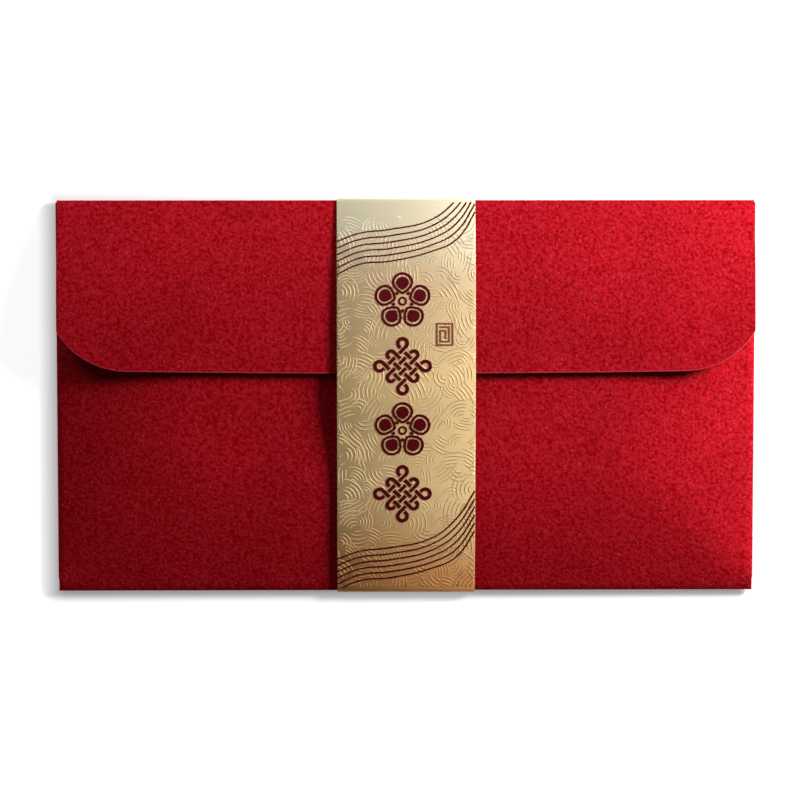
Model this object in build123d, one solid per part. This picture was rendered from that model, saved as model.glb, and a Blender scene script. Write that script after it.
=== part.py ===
from build123d import *
import math
import os

# A gift envelope of red pearl card, lying on its back with the flap up and held shut by a gold belly band.
# Millimetres. X runs along the width, Y towards the flap's crease and Z up from the table.

# Red card
envelope_width = 170.0
envelope_height = 95.5
card = 0.3
fold_bore = 0.15
pocket_room = 4.1
mouth_share = 0.283
side_shoulder_share = 0.212
bottom_shoulder_share = 0.398
bottom_crest = 0.25
pocket_inset = 0.2

# Glue tabs under the pocket's sides
tab_width = 13.0
tab_taper = 16.0
tab_setback = 1.5
tab_foot = 2.5
ear_gap = 1.0
glue_width = 8.0
glue_margin = 2.0

# Flap
flap_share = 0.44
flap_shoulder_share = 0.81
flap_inset = 0.3
flap_gap = 1.2
corner_radius = 19.5
corner_inset = 17.2
crease_slit = 0.06

# Belly band
band_card = 0.2
band_width = 33.6
band_top_lead = 0.5
band_bottom_share = 0.63
band_gap = 0.7
band_low_gap = 0.4
band_slack = 0.25
knee_lead = 2.0
knee_radius = 80.0
back_gap = 0.15
lap_overlap = 24.0
lap_glue_length = 18.0
lap_glue_width = 28.0

# Glue films, and the air between a film and a sheet
glue_film = 0.06
seat = 0.06

# Overrun of every cutting solid
overrun = 2.0

# Heights of the layers, from the table up
glue_layer = glue_film + 2 * seat
upper_lap_low = band_card + glue_layer
upper_lap_top = upper_lap_low + band_card
rear_low = upper_lap_top + back_gap
rear_top = rear_low + card
fold_level = rear_top + fold_bore
pocket_low = rear_top + pocket_room
pocket_top = pocket_low + card
flap_low = pocket_top + flap_gap
flap_top = flap_low + card
band_low = flap_top + band_gap
band_top = band_low + band_card

# Runs of the rounded shoulders and of the flap, as shares of the panels
mouth_setback = mouth_share * envelope_height
side_shoulder = side_shoulder_share * envelope_width
bottom_shoulder = bottom_shoulder_share * envelope_height
flap_depth = flap_share * envelope_height
flap_shoulder = flap_shoulder_share * flap_depth
band_top_shoulder = flap_shoulder + band_top_lead
band_bottom_shoulder = band_bottom_share * bottom_shoulder

# Lines of the folds and edges
fold_reach = fold_bore + card
fold_x = envelope_width / 2 - fold_reach
fold_y = envelope_height / 2 - fold_reach
mouth_y = envelope_height / 2 - mouth_setback
tab_low_y = tab_foot - fold_y
tab_high_y = mouth_y - tab_setback


def shoulder(run, rise, tuck):
    # A sheet leaves a fold that is centred tuck inside it, climbs by rise over run and ends level.
    # Gives the radius of its inner face and its turn in degrees.
    radius = (run**2 + rise**2 - tuck**2) / (2 * (rise - tuck))
    turn = math.degrees(math.asin(run / (radius - tuck)))
    return radius, turn


def ring(center, inner, outer, start, sweep):
    near = CenterArc(center, inner, start, sweep)
    far = CenterArc(center, outer, start, sweep)
    return make_face(near + Line(near @ 1, far @ 1) + far + Line(near @ 0, far @ 0))


def along_x(section, width):
    # A section drawn in Y and Z, carried across the middle
    return extrude(Plane.YZ * section, amount=width / 2, both=True)


def along_y(section, low, high):
    # A section drawn in X and Z, carried from low to high
    return extrude(Plane.XZ.offset(-high) * section, amount=high - low)


def plate(outline, low, high):
    # An outline drawn in X and Y, from one height to another
    return extrude(Plane.XY.offset(low) * make_face(outline), amount=high - low)


def rectangle(low_x, low_y, high_x, high_y):
    corners = [(low_x, low_y), (high_x, low_y), (high_x, high_y), (low_x, high_y)]
    return Polyline(*corners, close=True)


# Pocket: level in the middle, rounded down to the side folds and to the bottom fold
side_radius, side_turn = shoulder(side_shoulder, pocket_low - fold_level, fold_reach + glue_layer)
side_level_x = fold_x - side_shoulder
side_center = (side_level_x, pocket_low - side_radius)
# The bottom's round would crest a little above the level middle, so it meets that in a soft line
bottom_rise = pocket_low + bottom_crest - fold_level
bottom_radius, bottom_turn = shoulder(bottom_shoulder, bottom_rise, fold_bore)
bottom_center = (bottom_shoulder - fold_y, fold_level + bottom_rise - bottom_radius)


def under_sides(radius, half_width, floor):
    # Face under the pocket, seen from the mouth
    turn = math.degrees(math.asin((half_width - side_level_x) / radius))
    right = CenterArc(side_center, radius, 90 - turn, turn)
    left = CenterArc((-side_level_x, side_center[1]), radius, 90, turn)
    foot = Polyline(left @ 1, (-half_width, floor), (half_width, floor), right @ 0)
    return make_face(right + Line(right @ 1, left @ 0) + left + foot)


def under_bottom(radius, mouth, floor, foot):
    # Face under the pocket, seen from the side: foot closes it behind the bottom fold
    curve = CenterArc(bottom_center, radius, 90, bottom_turn)
    top = (mouth, bottom_center[1] + radius)
    rest = Polyline(curve @ 1, *foot, (mouth, floor), top)
    return make_face(Line(top, curve @ 0) + curve + rest)


def pocket():
    half_width = envelope_width / 2 - pocket_inset
    inner_end = CenterArc(bottom_center, bottom_radius, 90, bottom_turn) @ 1
    outer_foot = [inner_end, (inner_end.X, 0)]
    inner_foot = [(inner_end.X - overrun, -overrun)]
    outer_sides = under_sides(side_radius + card, half_width, 0)
    inner_sides = under_sides(side_radius, half_width + overrun, -overrun)
    outer_bottom = under_bottom(bottom_radius + card, mouth_y, 0, outer_foot)
    inner_bottom = under_bottom(bottom_radius, mouth_y + overrun, -overrun, inner_foot)
    outer = along_y(outer_sides, -fold_y - overrun, mouth_y + overrun)
    inner = along_y(inner_sides, -fold_y - overrun, mouth_y + overrun)
    outer &= along_x(outer_bottom, envelope_width + overrun)
    inner &= along_x(inner_bottom, envelope_width + 2 * overrun)
    return outer - inner


def bottom_fold():
    section = ring((-fold_y, fold_level), fold_bore, fold_reach, 90 + bottom_turn, 180 - bottom_turn)
    return along_x(section, envelope_width - 2 * pocket_inset)


def rear_panel():
    # Narrow between the side folds, full width above them, ending at the flap's crease
    ear_y = tab_high_y + ear_gap
    half_width = envelope_width / 2
    right = [(fold_x, -fold_y), (fold_x, ear_y), (half_width, ear_y), (half_width, fold_y - crease_slit)]
    left = [(-x, y) for x, y in reversed(right)]
    return plate(Polyline(*right, *left, close=True), rear_low, rear_top)


# Right side fold, its glue tab and the glue on it: the left ones are their mirror images
tab_far = side_radius - glue_layer


def side_sector(inner, outer, near_x, far_x):
    # Part of the pocket's right shoulder, between two distances in from the side fold
    start = math.degrees(math.acos((side_shoulder - near_x) / inner))
    end = math.degrees(math.acos((side_shoulder - far_x) / inner))
    return ring(side_center, inner, outer, start, end - start)


def side_fold():
    section = ring((fold_x, fold_level), fold_bore, fold_reach, -90, 180 - side_turn)
    return along_y(section, tab_low_y, tab_high_y)


def glue_tab():
    inner_turn = math.degrees(math.asin((side_shoulder - tab_width) / tab_far))
    section = ring(side_center, tab_far - card, tab_far, 90 - side_turn, side_turn - inner_turn)
    outer_x = envelope_width / 2
    inner_x = fold_x - tab_width
    ends = [(outer_x, tab_low_y), (outer_x, tab_high_y)]
    ends += [(inner_x, tab_high_y - tab_taper), (inner_x, tab_low_y + tab_taper)]
    return along_y(section, tab_low_y, tab_high_y) & plate(Polyline(*ends, close=True), 0, pocket_top)


def tab_adhesive():
    inner = tab_far + seat
    section = side_sector(inner, inner + glue_film, glue_margin, glue_margin + glue_width)
    return along_y(section, tab_low_y + tab_taper, tab_high_y - tab_taper)


# Flap: a crease that turns about its own centre line, a rounded shoulder and a level leaf
flap_edge_y = envelope_height / 2 - flap_depth
flap_width = envelope_width - 2 * flap_inset
flap_radius, flap_turn = shoulder(flap_shoulder, flap_low - fold_level, fold_bore)
flap_center = (fold_y - flap_shoulder, flap_low - flap_radius)


def flap_outline():
    # Straight sides, and a wide round at each lower corner that the side cuts short
    half_width = flap_width / 2
    cut = math.degrees(math.acos(corner_inset / corner_radius))
    center_x = half_width - corner_inset
    center_y = flap_edge_y + corner_radius
    right = CenterArc((center_x, center_y), corner_radius, -90, 90 - cut)
    left = CenterArc((-center_x, center_y), corner_radius, 180 + cut, 90 - cut)
    top_y = envelope_height / 2
    sides = Polyline(right @ 1, (half_width, top_y), (-half_width, top_y), left @ 0)
    return right + sides + left + Line(left @ 1, right @ 0)


def closure_flap():
    near = CenterArc(flap_center, flap_radius, 90 - flap_turn, flap_turn)
    far = CenterArc(flap_center, flap_radius + card, 90 - flap_turn, flap_turn)
    leaf = Polyline(near @ 1, (flap_edge_y, flap_low), (flap_edge_y, flap_top), far @ 1)
    section = make_face(near + leaf + far + Line(far @ 0, near @ 0))
    return along_x(section, flap_width) & plate(flap_outline(), 0, flap_top + overrun)


def flap_crease():
    section = ring((fold_y, fold_level), fold_bore, fold_reach, -90, 180 - flap_turn)
    return along_x(section, flap_width)


# Belly band: a closed loop, with its two ends glued together on the back.
# Its front is level over the flap, then bends at a soft knee and falls to the bottom fold.
top_bore = fold_level - upper_lap_top
low_bore = fold_level - band_card
top_fold_y = envelope_height / 2 + band_slack - top_bore
low_fold_y = low_bore - envelope_height / 2 - band_slack
top_radius, top_turn = shoulder(band_top_shoulder, band_low - fold_level, top_bore)
top_center = (top_fold_y - band_top_shoulder, band_low - top_radius)
knee_center = (flap_edge_y - knee_lead, band_low - knee_radius)
# The fall runs from the knee to where it would graze the pocket's bottom round
graze_radius = bottom_radius + card + band_low_gap
graze_run = knee_center[0] - bottom_center[0]
graze_rise = band_low - bottom_center[1]
graze_turn = math.acos(graze_radius / math.hypot(graze_run, graze_rise))
fall = math.atan2(graze_rise, graze_run) + graze_turn - math.pi / 2
knee_turn = math.degrees(fall)

# The bottom shoulder is worked out in the frame of the falling stretch
knee_run = knee_center[0] - low_fold_y
knee_rise = knee_center[1] - fold_level
low_rise = knee_radius + knee_rise * math.cos(fall) - knee_run * math.sin(fall)
low_radius, low_turn = shoulder(band_bottom_shoulder, low_rise, low_bore)
low_offset = Vector(band_bottom_shoulder, low_rise - low_radius).rotate(Axis.Z, knee_turn)
low_center = Vector(low_fold_y, fold_level) + low_offset


def band_face_line(offset):
    # The front's inner or outer face, from its top fold to its bottom fold
    top = CenterArc(top_center, top_radius + offset, 90 - top_turn, top_turn)
    knee = CenterArc(knee_center, knee_radius + offset, 90, knee_turn)
    low = CenterArc(low_center, low_radius + offset, 90 + knee_turn, low_turn)
    line = top + Line(top @ 1, knee @ 0) + knee + Line(knee @ 1, low @ 0) + low
    return line, top @ 0, low @ 1


def band_front():
    inside, inner_top, inner_low = band_face_line(0)
    outside, outer_top, outer_low = band_face_line(band_card)
    ends = Line(inner_top, outer_top) + Line(inner_low, outer_low)
    return along_x(make_face(inside + outside + ends), band_width)


def band_top_fold():
    section = ring((top_fold_y, fold_level), top_bore, top_bore + band_card, -90, 180 - top_turn)
    return along_x(section, band_width)


def band_bottom_fold():
    turn = knee_turn + low_turn
    section = ring((low_fold_y, fold_level), low_bore, low_bore + band_card, 90 + turn, 180 - turn)
    return along_x(section, band_width)


def band_strip(width, low_y, high_y, low, high):
    return plate(rectangle(-width / 2, low_y, width / 2, high_y), low, high)


right_fold = side_fold()
right_tab = glue_tab()
right_glue = tab_adhesive()
lap_y = lap_overlap / 2
lap_glue_y = lap_glue_length / 2
lap_film_low = band_card + seat

nodes = {
    "rear_panel": rear_panel(),
    "pocket_panel": pocket(),
    "bottom_fold": bottom_fold(),
    "right_side_fold": right_fold,
    "left_side_fold": mirror(right_fold, about=Plane.YZ),
    "right_glue_tab": right_tab,
    "left_glue_tab": mirror(right_tab, about=Plane.YZ),
    "right_tab_adhesive": right_glue,
    "left_tab_adhesive": mirror(right_glue, about=Plane.YZ),
    "flap_crease": flap_crease(),
    "closure_flap": closure_flap(),
    "band_front": band_front(),
    "band_top_fold": band_top_fold(),
    "band_bottom_fold": band_bottom_fold(),
    "band_upper_lap": band_strip(band_width, -lap_y, top_fold_y, upper_lap_low, upper_lap_top),
    "band_lower_lap": band_strip(band_width, low_fold_y, lap_y, 0, band_card),
    "band_lap_adhesive": band_strip(
        lap_glue_width, -lap_glue_y, lap_glue_y, lap_film_low, lap_film_low + glue_film
    ),
}

os.makedirs("parts", exist_ok=True)
for name, solid in nodes.items():
    export_step(solid, f"parts/{name}.step")
    print(name, round(solid.volume, 2))
print("flap axis", [0, round(fold_y, 4), round(fold_level, 4)])
print("heights", {"pocket": round(pocket_top, 3), "flap": round(flap_top, 3), "band": round(band_top, 3)})
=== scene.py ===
import math
import random

import bpy
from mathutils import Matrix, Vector


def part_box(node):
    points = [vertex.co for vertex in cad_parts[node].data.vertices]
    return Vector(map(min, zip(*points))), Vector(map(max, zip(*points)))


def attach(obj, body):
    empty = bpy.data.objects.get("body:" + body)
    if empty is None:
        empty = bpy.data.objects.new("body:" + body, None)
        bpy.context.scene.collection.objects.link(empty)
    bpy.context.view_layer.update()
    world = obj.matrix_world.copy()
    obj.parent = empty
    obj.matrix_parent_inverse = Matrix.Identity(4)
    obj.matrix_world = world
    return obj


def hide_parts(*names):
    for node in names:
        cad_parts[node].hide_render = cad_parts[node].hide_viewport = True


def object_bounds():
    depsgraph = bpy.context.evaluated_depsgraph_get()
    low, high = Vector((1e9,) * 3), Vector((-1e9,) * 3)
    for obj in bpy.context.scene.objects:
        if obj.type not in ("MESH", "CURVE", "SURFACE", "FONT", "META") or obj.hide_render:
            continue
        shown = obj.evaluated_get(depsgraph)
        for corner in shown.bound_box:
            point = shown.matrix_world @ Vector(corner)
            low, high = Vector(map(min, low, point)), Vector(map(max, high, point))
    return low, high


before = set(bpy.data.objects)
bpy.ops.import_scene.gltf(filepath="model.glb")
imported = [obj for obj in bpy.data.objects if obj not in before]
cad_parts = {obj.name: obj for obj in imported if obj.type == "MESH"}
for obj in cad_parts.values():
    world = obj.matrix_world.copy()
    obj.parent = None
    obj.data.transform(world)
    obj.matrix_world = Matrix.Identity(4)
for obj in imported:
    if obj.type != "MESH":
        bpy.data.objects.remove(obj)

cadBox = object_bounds()
mm = 0.001  # sizes in the dictionaries below are in millimetres
dropFrom = 20 * mm  # flat sheets are laid out at this height, clear of everything, and dropped from it
weld = 0.001 * mm  # points closer than this are one
xAxis, yAxis = Vector((1, 0, 0)), Vector((0, 1, 0))
print("frame loaded")


def hexColour(code):
    parts = [int(code[i:i + 2], 16) / 255 for i in (1, 3, 5)]
    return [p / 12.92 if p <= 0.04045 else ((p + 0.055) / 1.055) ** 2.4 for p in parts] + [1.0]


# an input is a socket to link or a plain value, and a Mix node's colours are its sockets 6 and 7
def addNode(tree, kind, inputs, **settings):
    node = tree.nodes.new(kind)
    for name, value in settings.items():
        setattr(node, name, value)
    for key, value in inputs.items():
        if isinstance(value, bpy.types.NodeSocket):
            tree.links.new(value, node.inputs[key])
        else:
            node.inputs[key].default_value = value
    return node


def newMaterial(name):
    material = bpy.data.materials.new(name)
    material.use_nodes = True
    tree = material.node_tree
    return material, tree, tree.nodes["Principled BSDF"]


def clearSelection():
    if bpy.context.object and bpy.context.object.mode != "OBJECT":
        bpy.ops.object.mode_set(mode="OBJECT")
    bpy.ops.object.select_all(action="DESELECT")


def workOn(piece):
    clearSelection()
    piece.select_set(True)
    bpy.context.view_layer.objects.active = piece


# selects the points (VERT) or faces (FACE) that are wanted, and leaves the piece in edit mode
def pick(piece, kind, wanted):
    bpy.ops.object.mode_set(mode="EDIT")
    bpy.ops.mesh.select_mode(type=kind)
    bpy.ops.mesh.select_all(action="DESELECT")
    bpy.ops.object.mode_set(mode="OBJECT")
    for item in piece.data.vertices if kind == "VERT" else piece.data.polygons:
        item.select = wanted(item)
    bpy.ops.object.mode_set(mode="EDIT")


# turns every face of a flat sheet up, so that thickness grows the right way
def turnUp(piece):
    workOn(piece)
    pick(piece, "FACE", lambda face: face.normal.z < 0)
    bpy.ops.mesh.flip_normals()
    bpy.ops.object.mode_set(mode="OBJECT")


# cuts a sheet across at each place along the axis, and can drop what lies beyond
def cutAt(piece, axis, places, dropOuter=False):
    workOn(piece)
    bpy.ops.object.mode_set(mode="EDIT")
    bpy.ops.mesh.select_mode(type="VERT")
    for place in places:
        bpy.ops.mesh.select_all(action="SELECT")
        bpy.ops.mesh.bisect(plane_co=axis * place, plane_no=axis, clear_outer=dropOuter)
    bpy.ops.object.mode_set(mode="OBJECT")


def applyModifier(piece, kind, **settings):
    workOn(piece)
    modifier = piece.modifiers.new(kind.lower(), kind)
    for name, value in settings.items():
        setattr(modifier, name, value)
    bpy.ops.object.modifier_apply(modifier=modifier.name)


# drops a flat sheet straight down on to another surface
def dropOn(piece, target):
    applyModifier(piece, "SHRINKWRAP", target=target, wrap_method="PROJECT", use_project_z=True,
                  use_negative_direction=True, use_positive_direction=False)


# gives a sheet its thickness, with the second material on the cut edges, and rounds those
def thicken(piece, sheet, **settings):
    applyModifier(piece, "SOLIDIFY", thickness=sheet["card"] * mm, material_offset_rim=1, **settings)
    applyModifier(piece, "BEVEL", width=sheet["edgeRound"] * mm, segments=sheet["edgeSteps"],
                  limit_method="ANGLE", angle_limit=math.radians(sheet["edgeAngle"]))
    bpy.ops.object.shade_smooth_by_angle(angle=math.radians(sheet["smoothAngle"]))


def joinAll(pieces, name):
    workOn(pieces[0])
    for piece in pieces:
        piece.select_set(True)
    bpy.ops.object.join()
    bpy.ops.object.transform_apply(location=True, rotation=True, scale=True)
    pieces[0].name = pieces[0].data.name = name
    return pieces[0]


def copyOf(piece):
    workOn(piece)
    bpy.ops.object.duplicate(linked=False)
    return bpy.context.object


noiseSpan = {"From Min": 0.3, "From Max": 0.7}  # nearly all of a noise texture's values lie in here

# Red pearl card: mica-coated paper, felt-marked in the mill. The eye sees fine winding felt marks, paler over
# a deeper red, a glint here and there, and a soft sheen that follows the slope of the sheet. The glints are
# pale specks on mica flakes, a painted glint in the base colour. Mica flakes are far smaller in life, and
# are drawn coarse enough to show.
pearlCard = {"deep": "#A00004", "felt": "#CE1C2E", "paintedGlint": "#EC6472", "feltPitch": 0.72, "feltTwist": 0.6,
             "feltLow": 0.27, "feltHigh": 0.73, "glintPitch": 0.9, "glintFrom": 0.6, "glintShare": 0.26,
             "flakeCore": 0.1, "flakeRim": 0.45, "cloudSize": 22, "cloudLow": 0.94, "cloudHigh": 1.06,
             "metallic": 0.36, "specular": 0.06, "gloss": 0.56, "matt": 0.7, "relief": 0.04, "bump": 0.7}


def makePearlCard():
    look = pearlCard
    material, tree, shader = newMaterial("redPearlCard")
    place = addNode(tree, "ShaderNodeTexCoord", {}).outputs["Object"]
    felt = addNode(tree, "ShaderNodeTexNoise", {"Vector": place, "Scale": 1 / (look["feltPitch"] * mm),
                                                "Detail": 0.0, "Distortion": look["feltTwist"]}).outputs["Fac"]
    felt = addNode(tree, "ShaderNodeMapRange", {"Value": felt, "From Min": look["feltLow"],
                                                "From Max": look["feltHigh"]}).outputs["Result"]
    red = addNode(tree, "ShaderNodeMix", {"Factor": felt, 6: hexColour(look["deep"]), 7: hexColour(look["felt"])},
                  data_type="RGBA").outputs[2]
    # a painted glint: a small round flake of mica in some cells only, painted paler in the base colour
    flakes = addNode(tree, "ShaderNodeTexVoronoi", {"Vector": place, "Scale": 1 / (look["glintPitch"] * mm)})
    chosen = addNode(tree, "ShaderNodeSeparateColor", {"Color": flakes.outputs["Color"]}).outputs["Red"]
    chosen = addNode(tree, "ShaderNodeMapRange", {"Value": chosen, "From Min": look["glintFrom"],
                                                  "To Max": look["glintShare"]}).outputs["Result"]
    flake = addNode(tree, "ShaderNodeMapRange", {"Value": flakes.outputs["Distance"], "To Min": 1.0, "To Max": 0.0,
                                                 "From Min": look["flakeCore"],
                                                 "From Max": look["flakeRim"]}).outputs["Result"]
    paintedGlint = addNode(tree, "ShaderNodeMath", {0: flake, 1: chosen}, operation="MULTIPLY").outputs[0]
    flaked = addNode(tree, "ShaderNodeMix", {"Factor": paintedGlint, 6: red, 7: hexColour(look["paintedGlint"])},
                     data_type="RGBA").outputs[2]
    cloud = addNode(tree, "ShaderNodeTexNoise", {"Vector": place, "Scale": 1 / (look["cloudSize"] * mm),
                                                 "Detail": 1.0}).outputs["Fac"]
    cloud = addNode(tree, "ShaderNodeMapRange", {"Value": cloud, **noiseSpan, "To Min": look["cloudLow"],
                                                 "To Max": look["cloudHigh"]}).outputs["Result"]
    clouded = addNode(tree, "ShaderNodeHueSaturation", {"Color": flaked, "Value": cloud}).outputs["Color"]
    gloss = addNode(tree, "ShaderNodeMapRange", {"Value": felt, "To Min": look["matt"], "To Max": look["gloss"]})
    relief = addNode(tree, "ShaderNodeBump", {"Height": felt, "Distance": look["relief"] * mm,
                                              "Strength": look["bump"]})
    shader.inputs["Metallic"].default_value = look["metallic"]
    shader.inputs["Specular IOR Level"].default_value = look["specular"]
    tree.links.new(clouded, shader.inputs["Base Color"])
    tree.links.new(gloss.outputs["Result"], shader.inputs["Roughness"])
    tree.links.new(relief.outputs["Normal"], shader.inputs["Normal"])
    return material


# Gold foil card: satin foil on board. Its colour runs from a pale cream at the top to a warmer, deeper gold at
# the foot, a painted highlight and shade for how the light falls along the band. A soft mirror with a faint drift
# in tone, and a fine grain that is drawn coarser than life to show.
foilCard = {"stops": [(0.08, "#EEA662"), (0.28, "#FBD69A"), (0.62, "#FBD69A"), (0.86, "#DCBE92"),
                      (1.0, "#E8DCBA")],
            "from": -47.0, "to": 47.0, "drift": 14.0, "driftShare": 0.1, "grain": 0.25,
            "metal": 0.25, "satin": 0.46, "dull": 0.56, "relief": 0.006, "bump": 0.6}


def makeFoilCard():
    look = foilCard
    material, tree, shader = newMaterial("goldFoilCard")
    place = addNode(tree, "ShaderNodeTexCoord", {}).outputs["Object"]
    drift, grain = [addNode(tree, "ShaderNodeTexNoise", {"Vector": place, "Scale": 1 / (look[size] * mm),
                                                         "Detail": 2.0}).outputs["Fac"]
                    for size in ("drift", "grain")]
    # the height along the band sets the painted highlight and shade: pale cream at the top, warmer gold at the foot
    upward = addNode(tree, "ShaderNodeSeparateXYZ", {"Vector": place}).outputs["Y"]
    height = addNode(tree, "ShaderNodeMapRange", {"Value": upward, "From Min": look["from"] * mm,
                                                  "From Max": look["to"] * mm}).outputs["Result"]
    share = addNode(tree, "ShaderNodeMath", {0: drift, 1: look["driftShare"], 2: height},
                    operation="MULTIPLY_ADD").outputs[0]
    paintedSheenAndDrift = addNode(tree, "ShaderNodeValToRGB", {"Fac": share})
    stops = paintedSheenAndDrift.color_ramp.elements
    for i in (0, -1):
        stops[i].position, stops[i].color = look["stops"][i][0], hexColour(look["stops"][i][1])
    for spot, tone in look["stops"][1:-1]:
        stops.new(spot).color = hexColour(tone)
    gloss = addNode(tree, "ShaderNodeMapRange", {"Value": grain, **noiseSpan, "To Min": look["satin"],
                                                 "To Max": look["dull"]})
    relief = addNode(tree, "ShaderNodeBump", {"Height": grain, "Distance": look["relief"] * mm,
                                              "Strength": look["bump"]})
    shader.inputs["Metallic"].default_value = look["metal"]
    tree.links.new(paintedSheenAndDrift.outputs["Color"], shader.inputs["Base Color"])
    tree.links.new(gloss.outputs["Result"], shader.inputs["Roughness"])
    tree.links.new(relief.outputs["Normal"], shader.inputs["Normal"])
    return material


# A plain paper-like finish in two tones, for what needs only a fine mottle: cut edges, ink and dried glue
paperMottle = {"detail": 3.0, "bump": 0.6}


def makeMottled(name, tones, size, roughness, relief, specular=0.5):
    material, tree, shader = newMaterial(name)
    place = addNode(tree, "ShaderNodeTexCoord", {}).outputs["Object"]
    grain = addNode(tree, "ShaderNodeTexNoise", {"Vector": place, "Scale": 1 / (size * mm),
                                                 "Detail": paperMottle["detail"]}).outputs["Fac"]
    share = addNode(tree, "ShaderNodeMapRange", {"Value": grain, **noiseSpan}).outputs["Result"]
    tone = addNode(tree, "ShaderNodeMix", {"Factor": share, 6: hexColour(tones[0]), 7: hexColour(tones[1])},
                   data_type="RGBA").outputs[2]
    gloss = addNode(tree, "ShaderNodeMapRange", {"Value": grain, **noiseSpan, "To Min": roughness[0],
                                                 "To Max": roughness[1]}).outputs["Result"]
    bump = addNode(tree, "ShaderNodeBump", {"Height": grain, "Distance": relief * mm,
                                            "Strength": paperMottle["bump"]})
    shader.inputs["Specular IOR Level"].default_value = specular
    tree.links.new(tone, shader.inputs["Base Color"])
    tree.links.new(gloss, shader.inputs["Roughness"])
    tree.links.new(bump.outputs["Normal"], shader.inputs["Normal"])
    return material


redCard = makePearlCard()
goldCard = makeFoilCard()
# Die-cut edge of the red card: bare fibres without the pearl coat, so matt and paler. On the flap the same colour
# also makes a thin strip along the lower edge of the top face, a painted highlight.
redEdgeAndPaintedHighlight = makeMottled("cutRedFibreAndPaintedHighlight", ("#BC1E32", "#CE3044"), 0.5, (0.7, 0.85), 0.02)
# The buff board under the foil, bare on the inside of the band and at its cut edges
bareBoard = makeMottled("bareBuffBoard", ("#BDA478", "#CCB68C"), 0.9, (0.75, 0.88), 0.02)
# Screen-printed ink on foil: dense dark red, half matt, a little uneven
redInk = makeMottled("darkRedInk", ("#520009", "#62000E"), 0.6, (0.5, 0.62), 0.006, specular=0.15)
# The same ink thinned, for the small fret
brownInk = makeMottled("thinRedInk", ("#8A4636", "#9C5A44"), 0.6, (0.5, 0.62), 0.006, specular=0.2)
# Dried paper glue: a yellowish film, unevenly glossy
driedGlue = makeMottled("driedPaperGlue", ("#CFC4A4", "#E4DCC4"), 1.5, (0.3, 0.5), 0.03)
print("materials made")


# pocket front: one sheet of card, rounded at the sides and the bottom over what is inside
pocketFront = {"columns": 112, "rows": 46, "margin": 0.02, "card": 0.3, "fixedRim": 0.1, "softness": 0.5,
               "softening": 40, "edgeRound": 0.06, "edgeSteps": 2, "edgeAngle": 40, "smoothAngle": 35}


def makePocketFront():
    sheet = pocketFront
    low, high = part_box("pocket_panel")
    margins = 2 * sheet["margin"] * mm
    clearSelection()
    bpy.ops.mesh.primitive_grid_add(x_subdivisions=sheet["columns"], y_subdivisions=sheet["rows"], size=1,
                                    location=((low.x + high.x) / 2, (low.y + high.y) / 2, dropFrom))
    piece = bpy.context.object
    piece.name = piece.data.name = "pocketFront"
    piece.scale = (high.x - low.x - margins, high.y - low.y - margins, 1)
    bpy.ops.object.transform_apply(location=True, rotation=True, scale=True)
    # the sides and the bottom stay where they are when the sheet is softened
    points = piece.data.vertices
    side = max(abs(point.co.x) for point in points) - sheet["fixedRim"] * mm
    foot = min(point.co.y for point in points) + sheet["fixedRim"] * mm
    inner = piece.vertex_groups.new(name="inner")
    inner.add([point.index for point in points if abs(point.co.x) < side and point.co.y > foot], 1.0, "REPLACE")
    dropOn(piece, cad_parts["pocket_panel"])
    applyModifier(piece, "SMOOTH", factor=sheet["softness"], iterations=sheet["softening"], vertex_group="inner")
    piece.data.materials.append(redCard)
    piece.data.materials.append(redEdgeAndPaintedHighlight)
    thicken(piece, sheet, offset=-1)
    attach(piece, "pouch")
    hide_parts("pocket_panel")
    return piece


# closure flap: a sheet with two rounded corners, bent down to its crease
closureFlap = {"columns": 64, "rows": 26, "margin": 0.02, "card": 0.3, "cornerRadius": 19.5, "cornerInset": 17.2,
               "cornerSteps": 28, "paintedHighlightStrip": 0.26, "paintedHighlightReach": 17, "bowMiddle": 0.25, "bowSide": 0.5,
               "bowCorner": 68, "bowReach": 14, "fixedRim": 0.4, "softness": 0.5, "softening": 30,
               "edgeRound": 0.08, "edgeSteps": 2, "edgeAngle": 40, "smoothAngle": 35}


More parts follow.
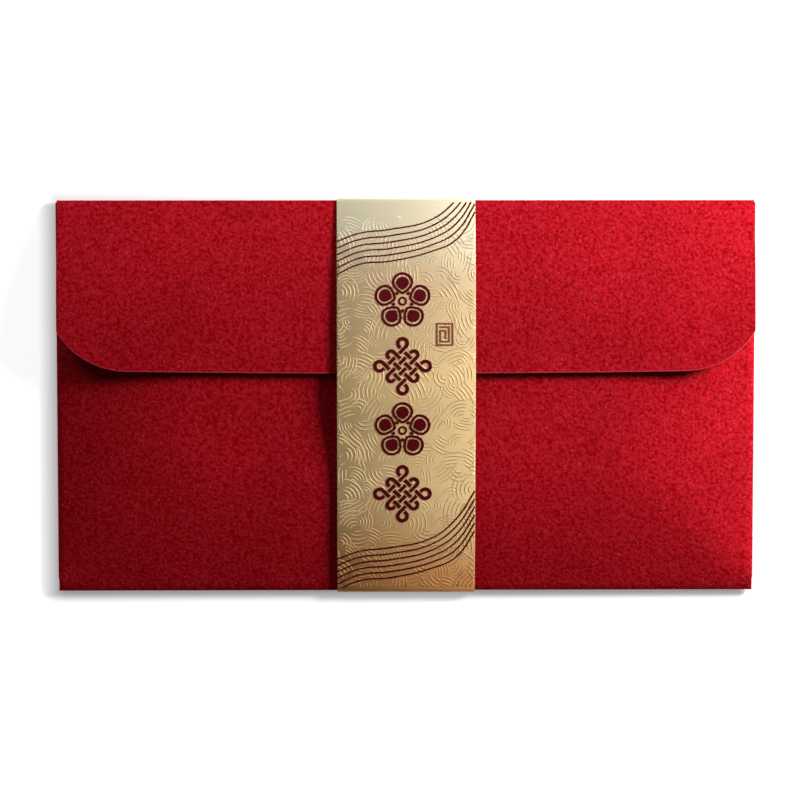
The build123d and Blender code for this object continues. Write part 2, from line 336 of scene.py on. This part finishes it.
def makeClosureFlap():
    sheet = closureFlap
    low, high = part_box("closure_flap")
    margin = sheet["margin"] * mm
    side, bottom, top = high.x - margin, low.y + margin, high.y - margin
    wide = side + sheet["cornerRadius"] * mm - sheet["cornerInset"] * mm
    middle = (bottom + top) / 2
    clearSelection()
    bpy.ops.mesh.primitive_plane_add(size=1, location=(0, middle, dropFrom))
    piece = bpy.context.object
    piece.name = piece.data.name = "closureFlap"
    piece.scale = (2 * wide, top - bottom, 1)
    bpy.ops.object.transform_apply(location=True, rotation=True, scale=True)
    pick(piece, "VERT", lambda point: point.co.y < middle)
    bpy.ops.mesh.bevel(offset=sheet["cornerRadius"] * mm, segments=sheet["cornerSteps"], affect="VERTICES")
    for axis in (xAxis, -xAxis):
        cutAt(piece, axis, [side], dropOuter=True)
    piece.data.materials.append(redCard)
    piece.data.materials.append(redEdgeAndPaintedHighlight)
    # the inset leaves a thin strip round the sheet, which takes the painted highlight along the lower edge
    pick(piece, "FACE", lambda face: True)
    bpy.ops.mesh.inset(thickness=sheet["paintedHighlightStrip"] * mm)
    bpy.ops.object.mode_set(mode="OBJECT")
    # a painted highlight: the paler strip runs along the lower edge of the top face and round the corners, and
    # stops where the sides begin
    for face in piece.data.polygons:
        face.material_index = int(not face.select and face.center.y < bottom + sheet["paintedHighlightReach"] * mm)
    step = 2 * side / sheet["columns"]
    cutAt(piece, xAxis, [-side + step * i for i in range(1, sheet["columns"])])
    step = (top - bottom) / sheet["rows"]
    cutAt(piece, yAxis, [bottom + step * i for i in range(1, sheet["rows"])])
    # the cut edge bows up a little towards the corners
    for point in piece.data.vertices:
        share = max(0, 1 - (point.co.y - bottom) / (sheet["bowReach"] * mm))
        outward = min(1, abs(point.co.x) / (sheet["bowCorner"] * mm)) ** 2
        point.co.y += share * (sheet["bowMiddle"] * mm + sheet["bowSide"] * mm * outward)
    crease = top - sheet["fixedRim"] * mm
    inner = piece.vertex_groups.new(name="inner")
    inner.add([point.index for point in piece.data.vertices if point.co.y < crease], 1.0, "REPLACE")
    turnUp(piece)
    dropOn(piece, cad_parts["closure_flap"])
    applyModifier(piece, "SMOOTH", factor=sheet["softness"], iterations=sheet["softening"], vertex_group="inner",
                  use_x=False, use_y=False)
    thicken(piece, sheet, offset=-1)
    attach(piece, "flap")
    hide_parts("closure_flap")
    return piece


# gold band: one strip, folded round the envelope and lapped on the back. Its path, seen from the side, is
# runs to a point (y, z) and turns about one (y, z, degrees, steps).
goldBand = {"card": 0.2, "halfWidth": 16.8, "edgeRound": 0.04, "edgeSteps": 2, "edgeAngle": 50, "smoothAngle": 35,
            "start": (12.0, 0.1),
            "path": [("run", -47.02, 0.1), ("turn", -47.02, 1.18, 167.1, 14), ("turn", -10.743, -157.249, 8.47, 20),
                     ("run", -2.448, 7.492), ("turn", 3.73, -72.37, 4.43, 8), ("run", 12.864, 7.73),
                     ("turn", 12.864, -97.838, 19.23, 28), ("turn", 47.4, 1.18, 160.77, 14), ("run", -12.0, 0.48)]}


def makeGoldBand():
    strip = goldBand
    clearSelection()
    bpy.ops.mesh.primitive_plane_add(size=mm)
    piece = bpy.context.object
    piece.name = piece.data.name = "goldBand"
    # the plane shrinks to one point, which is drawn along the path
    bpy.ops.object.mode_set(mode="EDIT")
    bpy.ops.mesh.select_mode(type="VERT")
    bpy.ops.mesh.select_all(action="SELECT")
    bpy.ops.mesh.merge(type="CENTER")
    at = Vector((-strip["halfWidth"], *strip["start"])) * mm
    bpy.ops.transform.translate(value=at)
    for kind, y, z, *rest in strip["path"]:
        there = Vector((-strip["halfWidth"], y, z)) * mm
        if kind == "run":
            bpy.ops.mesh.extrude_vertices_move(TRANSFORM_OT_translate={"value": there - at})
            at = there
        else:
            degrees, steps = rest
            bpy.ops.mesh.spin(steps=steps, angle=math.radians(degrees), center=there, axis=(1, 0, 0))
            arm, turn = at - there, -math.radians(degrees)
            at = there + Vector((0, arm.y * math.cos(turn) - arm.z * math.sin(turn),
                                 arm.y * math.sin(turn) + arm.z * math.cos(turn)))
    bpy.ops.mesh.select_all(action="SELECT")
    bpy.ops.mesh.remove_doubles(threshold=weld)
    bpy.ops.mesh.select_all(action="SELECT")
    bpy.ops.mesh.extrude_edges_move(TRANSFORM_OT_translate={"value": (2 * strip["halfWidth"] * mm, 0, 0)})
    bpy.ops.mesh.select_all(action="SELECT")
    bpy.ops.mesh.normals_make_consistent(inside=False)
    bpy.ops.object.mode_set(mode="OBJECT")
    front = max(piece.data.polygons, key=lambda face: face.center.z)
    if front.normal.z < 0:
        piece.data.flip_normals()
    piece.data.materials.append(goldCard)
    piece.data.materials.append(bareBoard)
    thicken(piece, strip, offset=0, material_offset=1)
    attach(piece, "belly_band")
    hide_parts("band_front", "band_top_fold", "band_bottom_fold", "band_upper_lap", "band_lower_lap")
    return piece


pocket = makePocketFront()
print("pocket front", len(pocket.data.polygons), "faces")
flap = makeClosureFlap()
print("closure flap", len(flap.data.polygons), "faces")
band = makeGoldBand()
print("gold band", len(band.data.polygons), "faces")


# embossing: sets of nested curls pressed up in the foil, each stroke a low ridge that fades at its ends. Each
# set has its strokes' radii and how far round they go.
bandEmboss = {"seed": 11, "width": 0.7, "crest": 0.011, "sink": 0.008, "wall": 0.02, "steps": 8, "fade": 0.6,
              "sets": [((1.2, 2.05, 2.9, 3.75, 4.6), 120), ((5.2, 6.05, 6.9, 7.75, 8.6), 50),
                       ((0.9, 1.75, 2.6), 190)],
              "mix": (0, 0, 1, 1, 2), "shortest": 0.72, "stagger": 0.1, "sizes": (0.8, 1.2),
              "pitch": 4.0, "jitter": 0.9, "rowShift": 0.5, "sideShift": 0.2, "low": -46.5, "high": 41.5,
              "sideMargin": 0.1, "head": 44, "foot": 46.8}


def makeStroke(radius, sweep, start):
    look = bandEmboss
    clearSelection()
    bpy.ops.mesh.primitive_grid_add(x_subdivisions=2, y_subdivisions=1, size=look["width"] * mm)
    stroke = bpy.context.object
    # one row of three points is kept, moved out to the radius and spun
    pick(stroke, "VERT", lambda point: point.co.y > 0)
    bpy.ops.mesh.delete(type="VERT")
    bpy.ops.mesh.select_all(action="SELECT")
    bpy.ops.transform.translate(value=(radius * mm, look["width"] / 2 * mm, 0))
    bpy.ops.mesh.spin(steps=look["steps"], angle=math.radians(sweep), center=(0, 0, 0), axis=(0, 0, -1))
    bpy.ops.object.mode_set(mode="OBJECT")
    crest = stroke.vertex_groups.new(name="crest")
    for point in stroke.data.vertices:
        if abs(point.co.xy.length / mm - radius) < look["width"] / 4:
            share = abs(math.degrees(math.atan2(point.co.y, point.co.x))) / sweep
            crest.add([point.index], math.sin(math.pi * min(share, 1)) ** look["fade"], "REPLACE")
    stroke.rotation_euler.z = math.radians(start)
    return stroke


# trims a flat sheet to the band's front, given how far it may reach to the sides, the head and the foot
def trimToBand(piece, look):
    edge = (goldBand["halfWidth"] - look["sideMargin"]) * mm
    for axis, place in ((xAxis, edge), (-xAxis, edge), (yAxis, look["head"] * mm), (-yAxis, look["foot"] * mm)):
        cutAt(piece, axis, [place], dropOuter=True)


def makeEmboss(carrier):
    look = bandEmboss
    dice = random.Random(look["seed"])
    sets = []
    for radii, sweep in look["sets"]:
        strokes = []
        for radius in radii:
            turned = sweep * dice.uniform(look["shortest"], 1.0)
            start = -sweep / 2 + dice.uniform(-look["stagger"], look["stagger"]) * sweep
            strokes.append(makeStroke(radius, turned, start))
        curl = joinAll(strokes, "curlSet")
        middle = sum((point.co for point in curl.data.vertices), Vector()) / len(curl.data.vertices)
        workOn(curl)
        bpy.ops.object.mode_set(mode="EDIT")
        bpy.ops.mesh.select_all(action="SELECT")
        bpy.ops.transform.translate(value=-middle)
        bpy.ops.object.mode_set(mode="OBJECT")
        sets.append(curl)
    copies = []
    columns = math.ceil(2 * goldBand["halfWidth"] / look["pitch"])
    rows = round((look["high"] - look["low"]) / look["pitch"])
    for row in range(rows + 1):
        for column in range(columns + 1):
            curl = copyOf(sets[dice.choice(look["mix"])])
            across = column + look["rowShift"] * (row % 2) - look["sideShift"]
            x = -goldBand["halfWidth"] + look["pitch"] * across + dice.uniform(-1, 1) * look["jitter"]
            y = look["low"] + look["pitch"] * row + dice.uniform(-1, 1) * look["jitter"]
            size = dice.uniform(*look["sizes"])
            curl.location = (x * mm, y * mm, dropFrom)
            curl.rotation_euler.z = dice.uniform(0, 2 * math.pi)
            curl.scale = (size * dice.choice((-1, 1)), size, 1)
            copies.append(curl)
    clearSelection()
    for curl in sets:
        curl.select_set(True)
    bpy.ops.object.delete()
    piece = joinAll(copies, "bandEmboss")
    trimToBand(piece, look)
    turnUp(piece)
    dropOn(piece, carrier)
    applyModifier(piece, "DISPLACE", direction="NORMAL", strength=-look["sink"] * mm, mid_level=0)
    applyModifier(piece, "DISPLACE", direction="NORMAL", strength=(look["crest"] + look["sink"]) * mm, mid_level=0,
                  vertex_group="crest")
    # a closed wall, with its underside inside the card
    applyModifier(piece, "SOLIDIFY", thickness=look["wall"] * mm, offset=-1)
    piece.data.materials.clear()
    piece.data.materials.append(goldCard)
    bpy.ops.object.shade_smooth()
    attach(piece, "belly_band")
    return piece


# print: two sets of six flowing lines, four ornaments down the middle and a small fret beside them. Each line
# point is x, y and the step to the next line.
bandPrint = {"ink": 0.075, "hair": 0.005, "lineWidth": 0.34, "lines": 6, "lineSteps": 10, "upperShift": 77.6,
             "linePoints": [(-17.4, -39.9, 1.6), (-11.2, -37.7, 1.48), (-3.9, -36.8, 1.52), (6.3, -34.4, 1.52),
                            (12.0, -29.9, 1.9), (17.4, -21.7, 2.0)],
             "ornaments": [("blossom", 23.6), ("knot", 7.9), ("blossom", -7.8), ("knot", -23.4)], "ornamentX": -0.9,
             "arcStep": 12, "fewestArcSteps": 6, "slices": (-46, 48), "smoothAngle": 30,
             "sideMargin": 0.05, "head": 47.3, "foot": 46.9}


def makeRibbonProfile(width):
    clearSelection()
    bpy.ops.curve.primitive_bezier_curve_add()
    profile = bpy.context.object
    for knot, x in zip(profile.data.splines[0].bezier_points, (-width / 2, width / 2)):
        knot.co = (x * mm, 0, 0)
        knot.handle_left_type = knot.handle_right_type = "VECTOR"
    profile.data.resolution_u = 1
    return profile


def makeLine(points, profile):
    clearSelection()
    bpy.ops.curve.primitive_bezier_curve_add()
    line = bpy.context.object
    knots = line.data.splines[0].bezier_points
    knots.add(len(points) - 2)
    for knot, (x, y) in zip(knots, points):
        knot.co = (x * mm, y * mm, 0)
        knot.handle_left_type = knot.handle_right_type = "AUTO"
    line.data.twist_mode = "Z_UP"
    line.data.resolution_u = bandPrint["lineSteps"]
    line.data.bevel_mode = "OBJECT"
    line.data.bevel_object = profile
    bpy.ops.object.convert(target="MESH")
    return bpy.context.object


# bars end a hair short, so that those that meet stay apart
def flatBar(x0, y0, x1, y1):
    clearSelection()
    bpy.ops.mesh.primitive_plane_add(size=1, location=((x0 + x1) / 2 * mm, (y0 + y1) / 2 * mm, 0))
    bar = bpy.context.object
    hair = 2 * bandPrint["hair"]
    bar.scale = ((abs(x1 - x0) - hair) * mm, (abs(y1 - y0) - hair) * mm, 1)
    return bar


def flatArc(x, y, radius, width, start, sweep):
    clearSelection()
    bpy.ops.mesh.primitive_plane_add(size=width * mm)
    arc = bpy.context.object
    pick(arc, "VERT", lambda point: point.co.y > 0)
    bpy.ops.mesh.delete(type="VERT")
    bpy.ops.mesh.select_all(action="SELECT")
    bpy.ops.transform.translate(value=(radius * mm, width / 2 * mm, 0))
    steps = max(bandPrint["fewestArcSteps"], round(sweep / bandPrint["arcStep"]))
    bpy.ops.mesh.spin(steps=steps, angle=math.radians(sweep), center=(0, 0, 0), axis=(0, 0, -1))
    bpy.ops.mesh.select_all(action="SELECT")
    bpy.ops.mesh.remove_doubles(threshold=weld)
    bpy.ops.object.mode_set(mode="OBJECT")
    arc.rotation_euler.z = math.radians(start)
    arc.location = (x * mm, y * mm, 0)
    return arc


# five petals, each a contour round a full heart, and a small ring and seeds in the middle. A pinch narrows
# what lies below a height.
blossom = {"petals": 5, "petalRadius": 2.62, "petalAt": 4.35, "petalPoints": 32, "contour": 0.6,
           "pinches": [(3.9, 0.93), (3.1, 0.86), (2.4, 0.8)], "heartAt": 4.3, "heartShare": 0.6,
           "seedRadius": 0.42, "seedAt": 2.3, "seedFrom": 126, "seedPoints": 14,
           "ringRadius": 0.85, "ringLine": 0.5}


def makePetal():
    look = blossom
    clearSelection()
    bpy.ops.mesh.primitive_circle_add(vertices=look["petalPoints"], radius=look["petalRadius"] * mm,
                                      fill_type="NGON", location=(0, look["petalAt"] * mm, 0))
    petal = bpy.context.object
    bpy.ops.object.transform_apply(location=True, rotation=True, scale=True)
    for below, pinch in look["pinches"]:
        pick(petal, "VERT", lambda point: point.co.y < below * mm)
        bpy.ops.transform.resize(value=(pinch, 1, 1), center_override=(0, 0, 0))
    bpy.ops.object.mode_set(mode="OBJECT")
    return petal


def makeBlossom():
    look = blossom
    petal, heart = makePetal(), makePetal()
    workOn(petal)
    pick(petal, "FACE", lambda face: True)
    bpy.ops.mesh.inset(thickness=look["contour"] * mm)
    bpy.ops.mesh.delete(type="FACE")
    bpy.ops.object.mode_set(mode="OBJECT")
    workOn(heart)
    pick(heart, "FACE", lambda face: True)
    bpy.ops.transform.resize(value=(look["heartShare"], look["heartShare"], 1),
                             center_override=(0, look["heartAt"] * mm, 0))
    bpy.ops.object.mode_set(mode="OBJECT")
    petal = joinAll([petal, heart], "petalPrint")
    petals = [petal] + [copyOf(petal) for turn in range(1, look["petals"])]
    seeds = []
    for i, piece in enumerate(petals):
        turn = 360 / look["petals"] * i
        piece.rotation_euler.z = math.radians(turn)
        angle = math.radians(look["seedFrom"] + turn)
        clearSelection()
        bpy.ops.mesh.primitive_circle_add(vertices=look["seedPoints"], radius=look["seedRadius"] * mm,
                                          fill_type="NGON", location=(look["seedAt"] * mm * math.cos(angle),
                                                                      look["seedAt"] * mm * math.sin(angle), 0))
        seeds.append(bpy.context.object)
    ring = flatArc(0, 0, look["ringRadius"], look["ringLine"], 0, 360)
    return joinAll(petals + seeds + [ring], "blossomPrint")


# an endless knot: four bars each way, woven over and under, with arcs at the sides and ears at the corners
endlessKnot = {"lanes": 4, "pitch": 1.85, "bar": 0.86, "gap": 0.3, "ear": 1.15}


def makeKnot():
    look = endlessKnot
    pitch, half, ear = look["pitch"], look["bar"] / 2, look["ear"]
    last = (look["lanes"] - 1) / 2
    reach = last * pitch + ear
    lanes = [(i - last) * pitch for i in range(look["lanes"])]
    shapes = []
    for j, lane in enumerate(lanes):
        for upright in (0, 1):
            # a bar stops on both sides of each bar that it goes under
            unders = [under for i, under in enumerate(lanes) if (i + j + upright) % 2 == 1]
            stops = [under + way * (half + look["gap"]) for under in unders for way in (-1, 1)]
            ends = [-reach] + stops + [reach]
            for a, b in zip(ends[::2], ends[1::2]):
                if upright:
                    shapes.append(flatBar(lane - half, a, lane + half, b))
                else:
                    shapes.append(flatBar(a, lane - half, b, lane + half))
    for quarter in (0, 90, 180, 270):
        for turn, away, radius, sweep in ((quarter, reach, pitch / 2, 180),
                                          (quarter + 45, reach * math.sqrt(2), ear, 270)):
            angle = math.radians(turn)
            shapes.append(flatArc(away * math.cos(angle), away * math.sin(angle), radius, look["bar"],
                                  quarter - 90, sweep))
    knot = joinAll(shapes, "knotPrint")
    knot.rotation_euler.z = math.radians(45)
    bpy.ops.object.transform_apply(location=True, rotation=True, scale=True)
    return knot


# a squared spiral in a frame
squareFret = {"at": (9.3, 15.6), "size": (4.2, 5.6), "line": 0.42}


def makeFret():
    (x, y), (w, h), line = squareFret["at"], squareFret["size"], squareFret["line"]
    left, right, low, high = x - w / 2, x + w / 2, y - h / 2, y + h / 2
    step = 2 * line
    bars = [flatBar(left, low, right, low + line), flatBar(left, high - line, right, high),
            flatBar(left, low + line, left + line, high - line),
            flatBar(right - line, low + line, right, high - line)]
    a, b, c, d = left + step, right - step, low + step, high - step
    bars += [flatBar(a, d - line, b, d), flatBar(b - line, c, b, d - line), flatBar(a, c, b - line, c + line),
             flatBar(a, c + line, a + line, d - step), flatBar(a + line, d - step - line, b - step, d - step),
             flatBar(b - step - line, c + step, b - step, d - step - line)]
    return joinAll(bars, "fretPrint")


def layPrint(piece, carrier, ink):
    look = bandPrint
    workOn(piece)
    piece.location.z = dropFrom
    bpy.ops.object.transform_apply(location=True, rotation=True, scale=True)
    trimToBand(piece, look)
    cutAt(piece, yAxis, [step * mm for step in range(*look["slices"])])  # so that it can follow the band's bend
    turnUp(piece)
    dropOn(piece, carrier)
    piece.data.materials.clear()
    piece.data.materials.append(ink)
    applyModifier(piece, "SOLIDIFY", thickness=look["ink"] * mm, offset=1)
    bpy.ops.object.shade_smooth_by_angle(angle=math.radians(look["smoothAngle"]))
    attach(piece, "belly_band")
    return piece


def makePrint(carrier):
    look = bandPrint
    profile = makeRibbonProfile(look["lineWidth"])
    lines = [makeLine([(x, y - step * i + shift) for x, y, step in look["linePoints"]], profile)
             for shift in (0, look["upperShift"]) for i in range(look["lines"])]
    bpy.data.objects.remove(profile)
    lines = joinAll(lines, "bandLines")
    masters = {"blossom": makeBlossom(), "knot": makeKnot()}
    marks = []
    for kind, y in look["ornaments"]:
        mark = copyOf(masters[kind])
        mark.location = (look["ornamentX"] * mm, y * mm, 0)
        marks.append(mark)
    for master in masters.values():
        bpy.data.objects.remove(master)
    ornaments = joinAll(marks, "bandOrnaments")
    return [layPrint(piece, carrier, ink)
            for piece, ink in ((lines, redInk), (ornaments, redInk), (makeFret(), brownInk))]


emboss = makeEmboss(band)
print("emboss", len(emboss.data.polygons), "faces")
prints = makePrint(band)
print("print", [len(piece.data.polygons) for piece in prints], "faces")


# the CAD nodes that stay have the same card and glue as the new pieces
for name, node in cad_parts.items():
    finish = goldCard if name.startswith("band_") else redCard
    if name.endswith("adhesive"):
        finish = driedGlue
    node.data.materials.clear()
    node.data.materials.append(finish)
print("CAD nodes finished")


# floor, two lamps and the camera: azimuth and height of a lamp are in degrees, distance and size in metres
studio = {"floor": "#F4F4F4", "floorSize": 40, "floorDrop": 0.02, "floorRoughness": 0.9,
          "paintedShadowGlow": 0.29, "midGlow": 0.82, "farGlow": 1.0, "midAt": 4.5, "farFrom": 60, "farAt": 300,
          "ambient": 0.035,
          "keyAzimuth": 120, "keyHeight": 26, "keyDistance": 0.6, "keySize": 0.25, "keyPower": 0.75,
          "sideAzimuth": 26, "sideHeight": 20, "sideDistance": 0.42, "sideSize": 0.13, "sidePower": 3.4,
          "cameraAt": (-0.0146, 0.0835, 0.9), "cameraTurn": (-5.368, -0.838, 0.0), "lens": 166.54,
          "sensor": 36, "clipStart": 0.01}
white = (1, 1, 1, 1)


def makeFloor():
    look = studio
    clearSelection()
    bpy.ops.mesh.primitive_plane_add(size=look["floorSize"], location=(0, 0, -look["floorDrop"] * mm))
    floor = bpy.context.object
    floor.name = "paleFloor"
    material, tree, shader = newMaterial("paleFloorPaint")
    shader.inputs["Base Color"].default_value = hexColour(look["floor"])
    shader.inputs["Roughness"].default_value = look["floorRoughness"]
    shader.inputs["Specular IOR Level"].default_value = 0.0
    rays = addNode(tree, "ShaderNodeLightPath", {})
    seen = addNode(tree, "ShaderNodeMath", {0: rays.outputs["Is Camera Ray"], 1: rays.outputs["Is Glossy Ray"]},
                   operation="MAXIMUM").outputs[0]
    seen = addNode(tree, "ShaderNodeMath", {0: seen, 1: rays.outputs["Is Transmission Ray"]},
                   operation="MAXIMUM").outputs[0]
    # the glow makes a white ground; round the envelope it is weaker, which paints a shadow on the floor there,
    # darkest at the outline, besides the real shadow
    place = addNode(tree, "ShaderNodeTexCoord", {}).outputs["Object"]
    span = addNode(tree, "ShaderNodeVectorMath", {0: place}, operation="ABSOLUTE").outputs["Vector"]
    past = addNode(tree, "ShaderNodeVectorMath", {0: span, 1: cadBox[1]}, operation="SUBTRACT").outputs["Vector"]
    past = addNode(tree, "ShaderNodeVectorMath", {0: past, 1: (0, 0, 0)}, operation="MAXIMUM").outputs["Vector"]
    away = addNode(tree, "ShaderNodeVectorMath", {0: past}, operation="LENGTH").outputs["Value"]
    paintedShadowRamp = addNode(tree, "ShaderNodeMapRange", {"Value": away, "From Max": look["midAt"] * mm,
                                                "To Min": look["paintedShadowGlow"],
                                                "To Max": look["midGlow"]}).outputs["Result"]
    far = addNode(tree, "ShaderNodeMapRange", {"Value": away, "From Min": look["farFrom"] * mm,
                                               "From Max": look["farAt"] * mm,
                                               "To Max": look["farGlow"] - look["midGlow"]}).outputs["Result"]
    level = addNode(tree, "ShaderNodeMath", {0: paintedShadowRamp, 1: far}, operation="ADD").outputs[0]
    glow = addNode(tree, "ShaderNodeMath", {0: seen, 1: level}, operation="MULTIPLY").outputs[0]
    shader.inputs["Emission Color"].default_value = white
    tree.links.new(glow, shader.inputs["Emission Strength"])
    floor.data.materials.append(material)


def makeLight():
    look = studio
    world = bpy.data.worlds.new("softRoom")
    world.use_nodes = True
    room = world.node_tree.nodes["Background"].inputs
    room["Color"].default_value = white
    room["Strength"].default_value = look["ambient"]
    bpy.context.scene.world = world
    for panel in ("key", "side"):
        azimuth, height = math.radians(look[panel + "Azimuth"]), math.radians(look[panel + "Height"])
        at = Vector((math.cos(height) * math.cos(azimuth), math.cos(height) * math.sin(azimuth),
                     math.sin(height))) * look[panel + "Distance"]
        clearSelection()
        bpy.ops.object.light_add(type="AREA", location=at)
        lamp = bpy.context.object
        lamp.name = panel + "Panel"
        lamp.rotation_euler = (-at).to_track_quat("-Z", "Y").to_euler()
        lamp.data.size = look[panel + "Size"]
        lamp.data.energy = look[panel + "Power"]


def makeCamera():
    look = studio
    clearSelection()
    bpy.ops.object.camera_add(location=look["cameraAt"], rotation=[math.radians(a) for a in look["cameraTurn"]])
    camera = bpy.context.object
    camera.data.lens = look["lens"]
    camera.data.sensor_width = look["sensor"]
    camera.data.clip_start = look["clipStart"]
    bpy.context.scene.camera = camera


makeFloor()
makeLight()
makeCamera()
bpy.context.scene.view_settings.view_transform = "Standard"
clearSelection()

print("scene ready")
